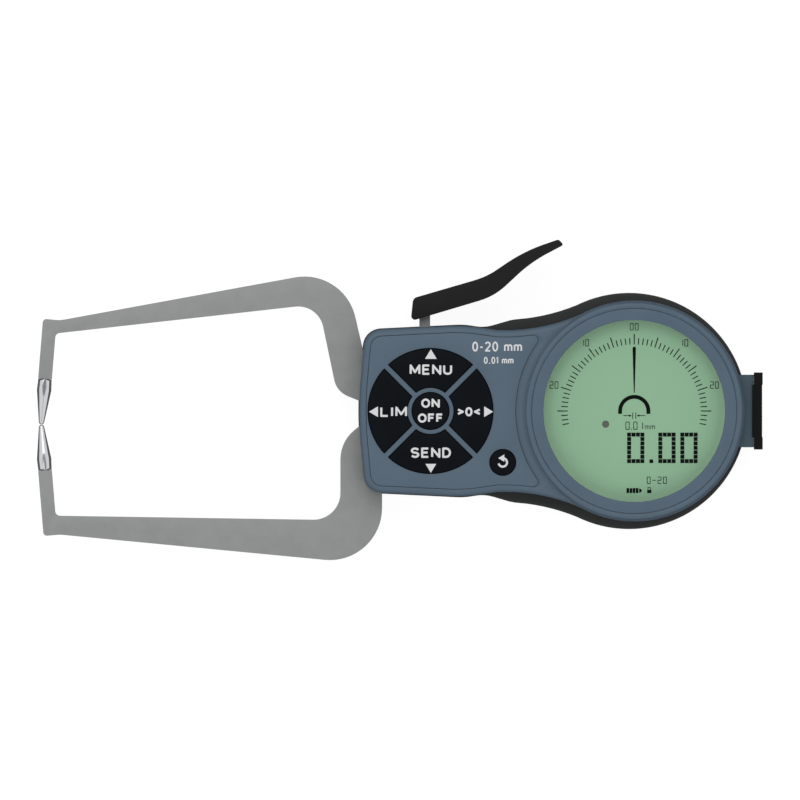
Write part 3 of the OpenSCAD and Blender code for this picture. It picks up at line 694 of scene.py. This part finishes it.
def millimetre_sign(bm):
    """Two letters m, each of three legs under a bar."""
    foot, bar_low, bar_high = -4.89, -4.08, -3.92
    leg_w, leg_pitch = 0.15, 0.51
    for x in (2.9, 4.35):
        for leg in range(3):
            left = x + leg * leg_pitch
            plate(bm, box_points(left, foot, left + leg_w, bar_low))
        plate(bm, box_points(x, bar_low, x + 2 * leg_pitch + leg_w, bar_high))


def large_reading(bm):
    """Zero with two places after the point."""
    foot, point = -13.99, 0.99
    dot_zero(bm, -1.91, foot)
    plate(bm, box_points(4.08, foot, 4.08 + point, foot + point))
    dot_zero(bm, 6.47, foot)
    dot_zero(bm, 12.38, foot)


def battery_symbol(bm):
    low, high = -22.04, -20.7
    bar_w, bar_pitch = 0.7, 0.83
    for i in range(4):
        left = -2.07 + i * bar_pitch
        plate(bm, box_points(left, low, left + bar_w, high))
    plate(bm, [(1.32, -21.91), (1.66, -21.91), (2.12, -21.37), (1.66, -20.84), (1.32, -20.84)])


def lock_symbol(bm):
    """Padlock: a body, two legs of its bow and the top of the bow."""
    plate(bm, box_points(3.46, -22.04, 4.59, -21.16))
    plate(bm, box_points(3.62, -21.1, 3.81, -20.67))
    plate(bm, box_points(4.24, -21.1, 4.43, -20.67))
    plate(bm, box_points(3.62, -20.62, 4.43, -20.43))


def display_segments():
    bm = bmesh.new()
    scale_ticks(bm)
    scale_numbers(bm)
    pointer(bm)
    jaws_symbol(bm)
    seven_segment(bm, "0.01", -2.36, -5.02, 2.15, 0.21, 1.5)
    millimetre_sign(bm)
    large_reading(bm)
    seven_segment(bm, "0-20", 3.38, -19.57, 1.93, 0.2, 1.45)
    battery_symbol(bm)
    lock_symbol(bm)
    bmesh.ops.recalc_face_normals(bm, faces=bm.faces)
    ink = Shader("segment_ink", segment_black, 0.5, gloss=0.03)
    ink.vary_roughness(ink.noise(segment_grain), 0.35, 0.5)
    piece(bm, "display_segments", ink, "housing")


def display_dot():
    """Round grey mark on the glass, left of the reading."""
    bm = bmesh.new()
    bmesh.ops.create_circle(bm, cap_ends=True, radius=0.97 * mm, segments=32)
    bmesh.ops.translate(bm, verts=bm.verts, vec=(*on_glass(-7.68, -3.54), glass_top))
    made = bmesh.ops.extrude_face_region(bm, geom=bm.faces[:])["geom"]
    tops = [v for v in made if isinstance(v, bmesh.types.BMVert)]
    bmesh.ops.translate(bm, verts=tops, vec=(0, 0, segment_t))
    bmesh.ops.recalc_face_normals(bm, faces=bm.faces)
    grey = Shader("indicator_grey", dot_grey, 0.5)
    grey.vary_colour(grey.noise(segment_grain), dot_grey, 0.05)
    piece(bm, "display_dot", grey, "housing")


bezel()
window()
display_glass()
display_segments()
display_dot()

# ---------------------------------------------------------------------------------------------
# Keypad: a skin of printed polyester lies in the tray of the front housing, with a fine joint
# line round it. Four black sector keys, a round centre key and a small reset key come through
# it. Each key is moulded with softened edges and carries light grey printing.
# ---------------------------------------------------------------------------------------------
key_edge_r = 0.22 * mm
skin_edge_r = 0.1 * mm
top_depth = 0.1 * mm
key_black = linear(11, 15, 20)
print_grey = linear(214, 216, 217)
skin_blue = linear(84, 101, 116)
print_t = 0.03 * mm
print_hair = 1e-8
flat_within = math.radians(1.5)
crease_from = math.radians(50)
key_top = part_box("key_ok")[1][2]


def softened(node, radius, segments, above=None):
    """Copy of a CAD node with its creases rounded, all of them or those above a height."""
    bm = merged_copy(node)
    bmesh.ops.dissolve_limit(
        bm, angle_limit=flat_within, verts=bm.verts, edges=bm.edges, delimit=set(),
    )
    creases = [
        e for e in bm.edges
        if len(e.link_faces) == 2 and e.calc_face_angle(0) > crease_from
        and (above is None or min(v.co.z for v in e.verts) > above)
    ]
    round_edges(bm, creases, radius, segments)
    bmesh.ops.triangulate(bm, faces=[f for f in bm.faces if len(f.verts) > 4])
    return bm


def keypad_skin():
    bm = softened("keypad_foil", skin_edge_r, 2, above=deck_top - top_depth / 2)
    polyester = moulded("skin_polyester", skin_blue, 0.46, 0.09 * mm, 0.008 * mm, 0.025)
    piece(bm, "keypad_skin", polyester, "housing", ["keypad_foil"])


def bow(x, y, width, height, start, stop, steps=10):
    """Points along part of an ellipse."""
    angles = [math.radians(start + (stop - start) * i / steps) for i in range(steps + 1)]
    return [(x + width * math.cos(a), y + height * math.sin(a)) for a in angles]


# Strokes of each sign as centre lines, in a square as high as a capital letter
SIGNS = {
    "M": [[(0, 0), (0, 1), (0.4, 0.2), (0.8, 1), (0.8, 0)]],
    "E": [[(0.56, 0), (0, 0), (0, 1), (0.56, 1)], [(0, 0.52), (0.5, 0.52)]],
    "N": [[(0, 0), (0, 1), (0.66, 0), (0.66, 1)]],
    "U": [[(0, 1), *bow(0.32, 0.32, 0.32, 0.32, 180, 360), (0.64, 1)]],
    "L": [[(0, 1), (0, 0), (0.54, 0)]],
    "I": [[(0, 0), (0, 1)]],
    "S": [[*bow(0.3, 0.75, 0.3, 0.25, 20, 270), *bow(0.3, 0.25, 0.3, 0.25, 90, -160)]],
    "D": [[(0.26, 0), (0, 0), (0, 1), (0.26, 1), *bow(0.26, 0.5, 0.36, 0.5, 90, -90)]],
    "O": [bow(0.37, 0.5, 0.37, 0.5, 0, 360, 20)],
    "F": [[(0, 0), (0, 1), (0.54, 1)], [(0, 0.53), (0.48, 0.53)]],
    "<": [[(0.5, 0.8), (0, 0.5), (0.5, 0.2)]],
    ">": [[(0, 0.8), (0.5, 0.5), (0, 0.2)]],
    "0": [bow(0.27, 0.5, 0.27, 0.5, 0, 360, 20)],
    "1": [[(0, 0.74), (0.2, 1), (0.2, 0)]],
    "2": [[*bow(0.27, 0.72, 0.27, 0.28, 165, -40), (0, 0), (0.56, 0)]],
    "-": [[(0, 0.42), (0.3, 0.42)]],
    ".": [[(0, 0), (0.2, 0)]],
    "m": [[(0, 0), (0, 0.68)], [*bow(0.21, 0.46, 0.21, 0.22, 180, 0), (0.42, 0)],
          [*bow(0.63, 0.46, 0.21, 0.22, 180, 0), (0.84, 0)]],
    " ": [],
}
sign_space = 0.36
blank_w = 0.2


def print_plate(bm, points, low):
    """Plate of print, a hair thicker than the one before so that no two tops lie in one plane."""
    flat_shape(bm, points, low, print_t + print_hair * len(bm.faces))


def stroke_plates(bm, points, thick, low):
    """Thick line through points, as flat plates with round joints."""
    for (x0, y0), (x1, y1) in zip(points, points[1:]):
        length = math.hypot(x1 - x0, y1 - y0)
        if length < thick * 0.01:
            continue
        dx, dy = (x1 - x0) / length * thick / 2, (y1 - y0) / length * thick / 2
        corners = [(x0 + dy, y0 - dx), (x1 + dy, y1 - dx), (x1 - dy, y1 + dx), (x0 - dy, y0 + dx)]
        print_plate(bm, corners, low)
    for x, y in points[1:-1]:
        print_plate(bm, bow(x, y, thick / 2, thick / 2, 0, 330, 11), low)


def lettering(bm, text, x, y, height, width, thick, low):
    """Line of lettering centred at x, y with its strokes drawn thick wide."""
    widths = [max((px for stroke in SIGNS[c] for px, _ in stroke), default=blank_w) for c in text]
    total = sum(widths) + sign_space * (len(text) - 1)
    across, up = (width - thick) / total, height - thick
    left = x - (width - thick) / 2
    for sign, sign_w in zip(text, widths):
        for stroke in SIGNS[sign]:
            points = [(left + px * across, y + (py - 0.5) * up) for px, py in stroke]
            stroke_plates(bm, points, thick, low)
        left += (sign_w + sign_space) * across


def printed(bm, name, body):
    """Turns plates of print into a finished piece in light grey ink."""
    bmesh.ops.recalc_face_normals(bm, faces=bm.faces)
    piece(bm, name, print_ink, body)


def triangle(x, y, size, degrees):
    """Arrowhead with its point towards degrees, as corner points."""
    corners = [(size * 0.5, 0), (-size * 0.5, size * 0.6), (-size * 0.5, -size * 0.6)]
    turn = Matrix.Rotation(math.radians(degrees), 2)
    return [tuple(Vector((x, y)) + turn @ Vector(c)) for c in corners]


def turning_arrow(bm, x, y, radius, thick, low):
    """Circular arrow of the reset key: most of a ring with an arrowhead at its upper end."""
    stroke_plates(bm, bow(x, y, radius, radius, 95, -165, 20), thick, low)
    print_plate(bm, triangle(x - radius * 0.35, y + radius, 3 * thick, 180), low)


print_ink = Shader("print_ink", print_grey, 0.5)
print_ink.vary_colour(print_ink.noise(1.5 * mm), print_grey, 0.03)
print_ink.vary_roughness(print_ink.noise(0.3 * mm), 0.45, 0.6)
key_rubber = moulded("key_satin", key_black, 0.42, 0.12 * mm, 0.008 * mm, 0.1, gloss=0.06)

# Print of each key in mm: its words as text, x, y, height and width, and its arrows as x, y, size
# and the way they point in degrees
KEY_PRINT = {
    "key_mode": ([("MENU", 0.1, 11.1, 2.8, 11.4)], [(0.1, 15.3, 2.6, 90)]),
    "key_tol": ([("LIM", -9.9, -0.2, 2.8, 7.2)], [(-15.3, -0.2, 2.4, 180)]),
    "key_data": ([("SEND", 0.1, -11.2, 2.8, 10.8)], [(0.1, -15.4, 2.4, 270)]),
    "key_zero": ([(">0<", 10.3, -0.2, 2.5, 6.4)], [(15.6, -0.2, 2.4, 0)]),
    "key_ok": ([("ON", 0, 2.1, 2.5, 5.0), ("OFF", 0, -1.9, 2.5, 6.8)], []),
    "key_reset": ([], []),
}
key_stroke = 0.56 * mm
arrow_r = 1.15 * mm
arrow_stroke = 0.55 * mm


def keys():
    for node, (words, arrows) in KEY_PRINT.items():
        body = node + "_body"
        key = softened(node, key_edge_r, 3, above=key_top - top_depth)
        piece(key, node + "_cap", key_rubber, body, [node])
        bm = bmesh.new()
        for text, x, y, height, width in words:
            lettering(bm, text, x * mm, y * mm, height * mm, width * mm, key_stroke, key_top)
        for x, y, size, degrees in arrows:
            print_plate(bm, triangle(x * mm, y * mm, size * mm, degrees), key_top)
        if node == "key_reset":
            low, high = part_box(node)
            x, y = (low[0] + high[0]) / 2, (low[1] + high[1]) / 2
            turning_arrow(bm, x, y, arrow_r, arrow_stroke, key_top)
        printed(bm, node + "_print", body)


def range_mark():
    """Plain range and resolution marking on the skin, right of the keys."""
    bm = bmesh.new()
    lettering(bm, "0-20 mm", 17.9 * mm, 17.3 * mm, 2.7 * mm, 13.4 * mm, 0.42 * mm, deck_top)
    lettering(bm, "0.01 mm", 18.3 * mm, 13.6 * mm, 1.9 * mm, 8.0 * mm, 0.32 * mm, deck_top)
    printed(bm, "range_print", "housing")


keypad_skin()
keys()
range_mark()

# ---------------------------------------------------------------------------------------------
# Measuring arms: two plates cut from 4 mm aluminium, blasted and grey anodised, with lightly
# broken edges. The upper one swings on the bearing, the lower one is fixed to the chassis.
# ---------------------------------------------------------------------------------------------
arm_edge_r = 0.25 * mm
arm_grey = linear(148, 150, 149)


def blasted_metal(name, colour, roughness):
    """Blasted and anodised aluminium: fine dimples and faint mottling."""
    shader = Shader(name, colour, roughness, 0.3, 0.2)
    dimples = shader.noise(0.16 * mm, 2.0)
    mottle = shader.noise(3.5 * mm, 4.0)
    shader.vary_colour(mottle, colour, 0.045)
    shader.vary_roughness(mottle, roughness - 0.05, roughness + 0.06)
    shader.relief(dimples, 0.012 * mm, 0.7)
    return shader


def arm(node, name, body):
    piece(softened(node, arm_edge_r, 3), name, anodised, body, [node])


anodised = blasted_metal("arm_anodised", arm_grey, 0.52)
arm("moving_arm", "upper_arm", "jaw_arm")
arm("fixed_arm", "lower_arm", "housing")

# ---------------------------------------------------------------------------------------------
# Contact points: hardened steel, turned and polished, widening a little from the arm and then
# tapering to a small ball end, with two spanner flats. They are pressed into the ends of the arms.
# ---------------------------------------------------------------------------------------------
steel_bright = linear(214, 215, 217)
tool_mark = 0.05 * mm
point_lean = math.radians(4.65)
pressed_in = 5.8 * mm
flat_depth = 0.18 * mm
flat_length = 5 * mm
flat_from = 0.05 * mm
cutter_w = 5 * mm
cutter_t = 1 * mm


def polished_steel(name, roughness):
    """Turned and polished steel with very shallow rings of tool marks."""
    shader = Shader(name, steel_bright, roughness, 1.0)
    rings = shader.noise(tool_mark, 1.0, shader.stretched((0.02, 1, 0.02)))
    shader.vary_roughness(shader.noise(0.8 * mm), roughness - 0.03, roughness + 0.08)
    shader.relief(rings, 0.0012 * mm, 0.5)
    return shader


def contact_point(node, name, body):
    """The CAD point with a spanner flat milled on its top and on its bottom."""
    bm = merged_copy(node)
    low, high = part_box(node)
    towards = 1 if node == "fixed_contact" else -1
    lean = Vector((-math.sin(point_lean), towards * math.cos(point_lean), 0))
    middle = Vector(((low[0] + high[0]) / 2, (low[1] + high[1]) / 2, (low[2] + high[2]) / 2))
    base = middle - lean * ((high[1] - low[1]) / 2 - pressed_in)
    spin = Matrix.Rotation(math.atan2(lean.y, lean.x) - math.pi / 2, 4, "Z")
    flat_z = (high[2] - low[2]) / 2 - flat_depth
    flat_middle = base + lean * (flat_length / 2 + flat_from)
    cutters = []
    for side in (-1, 1):
        block = bmesh.new()
        bmesh.ops.create_cube(block, size=1)
        bmesh.ops.scale(block, verts=block.verts, vec=(cutter_w, flat_length, cutter_t))
        bmesh.ops.transform(block, matrix=spin, verts=block.verts)
        up = Vector((0, 0, side * (flat_z + cutter_t / 2)))
        bmesh.ops.translate(block, verts=block.verts, vec=flat_middle + up)
        cutters.append(block)
    bm = combined(bm, cutters, "DIFFERENCE")
    piece(bm, name, polished, body, [node])


polished = polished_steel("point_polish", 0.12)
contact_point("moving_contact", "upper_point", "jaw_arm")
contact_point("fixed_contact", "lower_point", "housing")

# ---------------------------------------------------------------------------------------------
# Squeeze lever: black glass-filled nylon, moulded with rounded edges for the finger, slotted
# over the post of the upper arm and held there by two screws from behind.
# ---------------------------------------------------------------------------------------------
lever_edge_r = 0.55 * mm
lever_black = linear(35, 35, 35)


def squeeze_lever():
    nylon = moulded("lever_nylon", lever_black, 0.5, 0.2 * mm, 0.007 * mm, gloss=0.06)
    grip = softened("lever", lever_edge_r, 4)
    piece(grip, "squeeze_lever", nylon, "jaw_arm", ["lever"])


squeeze_lever()

# ---------------------------------------------------------------------------------------------
# Data port: a block of darker blue moulding carries the contact socket, and a black rubber cap
# with raised grip ears at its ends is pushed into it.
# ---------------------------------------------------------------------------------------------
port_edge_r = 0.15 * mm
cap_edge_r = 0.12 * mm
cap_squeeze = 0.09 * mm
port_blue = linear(68, 87, 98)
cap_black = linear(24, 24, 24)


def port_housing():
    block = softened("port_block", port_edge_r, 3)
    moulding = moulded("port_moulding", port_blue, 0.45, plastic_grain, plastic_depth)
    piece(block, "port_housing", moulding, "housing", ["port_block"])


def port_cover():
    """The CAD cap, with its flange brought up to the block as the soft rubber seats."""
    cap = softened("port_cap", cap_edge_r, 2)
    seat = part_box("port_block")[1][0]
    flange = [v for v in cap.verts if seat < v.co.x < seat + 2 * cap_edge_r]
    bmesh.ops.translate(cap, verts=flange, vec=(-cap_squeeze, 0, 0))
    rubber = moulded("cap_rubber", cap_black, 0.6, 0.25 * mm, 0.007 * mm, gloss=0.05)
    piece(cap, "port_cover", rubber, "port_cover", ["port_cap"])


port_housing()
port_cover()

# ---------------------------------------------------------------------------------------------
# Battery lid: black nylon disc in the back housing, with a coin slot for turning it and bayonet
# lugs that lock it. A rubber ring seals it.
# ---------------------------------------------------------------------------------------------
lid_edge_r = 0.15 * mm
lid_black = linear(40, 41, 43)


def coin_lid():
    nylon = moulded("lid_nylon", lid_black, 0.5, 0.18 * mm, 0.02 * mm)
    disc = softened("battery_lid", lid_edge_r, 2)
    piece(disc, "coin_lid", nylon, "battery_door", ["battery_lid"])


coin_lid()

# ---------------------------------------------------------------------------------------------
# Works inside the housing and fasteners: turned steel, brass, springs, boards and rubber seals.
# These keep their CAD shapes and get their finishes here.
# ---------------------------------------------------------------------------------------------
mask_green = linear(24, 84, 50)
track_green = linear(48, 120, 70)
track_pitch = 2.4 * mm
seal_black = linear(24, 24, 25)


def turned_metal(name, colour, roughness):
    """Machined steel or brass with fine tool marks."""
    shader = Shader(name, colour, roughness, 1.0)
    marks = shader.noise(tool_mark, 2.0, shader.stretched((1, 1, 0.1)))
    shader.vary_colour(shader.noise(2 * mm), colour, 0.06)
    shader.vary_roughness(shader.noise(0.7 * mm), roughness - 0.06, roughness + 0.1)
    shader.relief(marks, 0.002 * mm, 0.5)
    return shader


def circuit_board(name):
    """Green solder mask over a faint copper pattern."""
    shader = Shader(name, mask_green, 0.35)
    cells = shader.node("ShaderNodeTexVoronoi", feature="DISTANCE_TO_EDGE", distance="MANHATTAN")
    cells.inputs["Scale"].default_value = 1 / track_pitch
    shader.link(shader.place, cells.inputs["Vector"])
    tracks = shader.ranged(cells.outputs["Distance"], 1, 0, 0.03, 0.06)
    colour = shader.mixed(tracks, mask_green, track_green)
    shader.link(colour, shader.surface.inputs["Base Color"])
    shader.relief(tracks, 0.02 * mm, 0.6)
    return shader


def soft_rubber(name):
    shader = Shader(name, seal_black, 0.7)
    shader.vary_colour(shader.noise(1.2 * mm), seal_black, 0.12)
    shader.relief(shader.noise(0.2 * mm), 0.01 * mm, 0.6)
    return shader


FINISHES = {
    turned_metal("screw_steel", linear(176, 177, 180), 0.3): [
        "case_screws", "chassis_screws", "pivot_axle", "axle_nut", "lever_screws", "fixed_arm_screws",
        "fixed_arm_dowels", "spring_pin_moving", "spring_pin_fixed", "arm_stop", "return_spring",
        "battery_cell", "key_domes",
    ],
    turned_metal("plate_steel", linear(160, 162, 165), 0.4): ["chassis_plate"],
    turned_metal("race_steel", linear(200, 201, 204), 0.15): [
        "bearing_inner_race", "bearing_outer_race", "bearing_balls",
    ],
    turned_metal("brass_turned", linear(205, 172, 96), 0.28): [
        "bearing_spacers", "bearing_cage", "encoder_scale", "battery_contacts", "port_pins",
    ],
    circuit_board("board_green"): ["main_board", "encoder_head"],
    soft_rubber("seal_rubber"): ["shell_gasket", "window_seal", "battery_seal", "lcd_connector"],
    moulded("frame_white", linear(214, 213, 205), 0.5, 0.2 * mm, 0.02 * mm): ["lcd_frame"],
    moulded("buzzer_black", linear(34, 34, 34), 0.5, 0.2 * mm, 0.02 * mm): ["buzzer"],
}
for finish, nodes in FINISHES.items():
    for node in nodes:
        finish_node(node, finish)
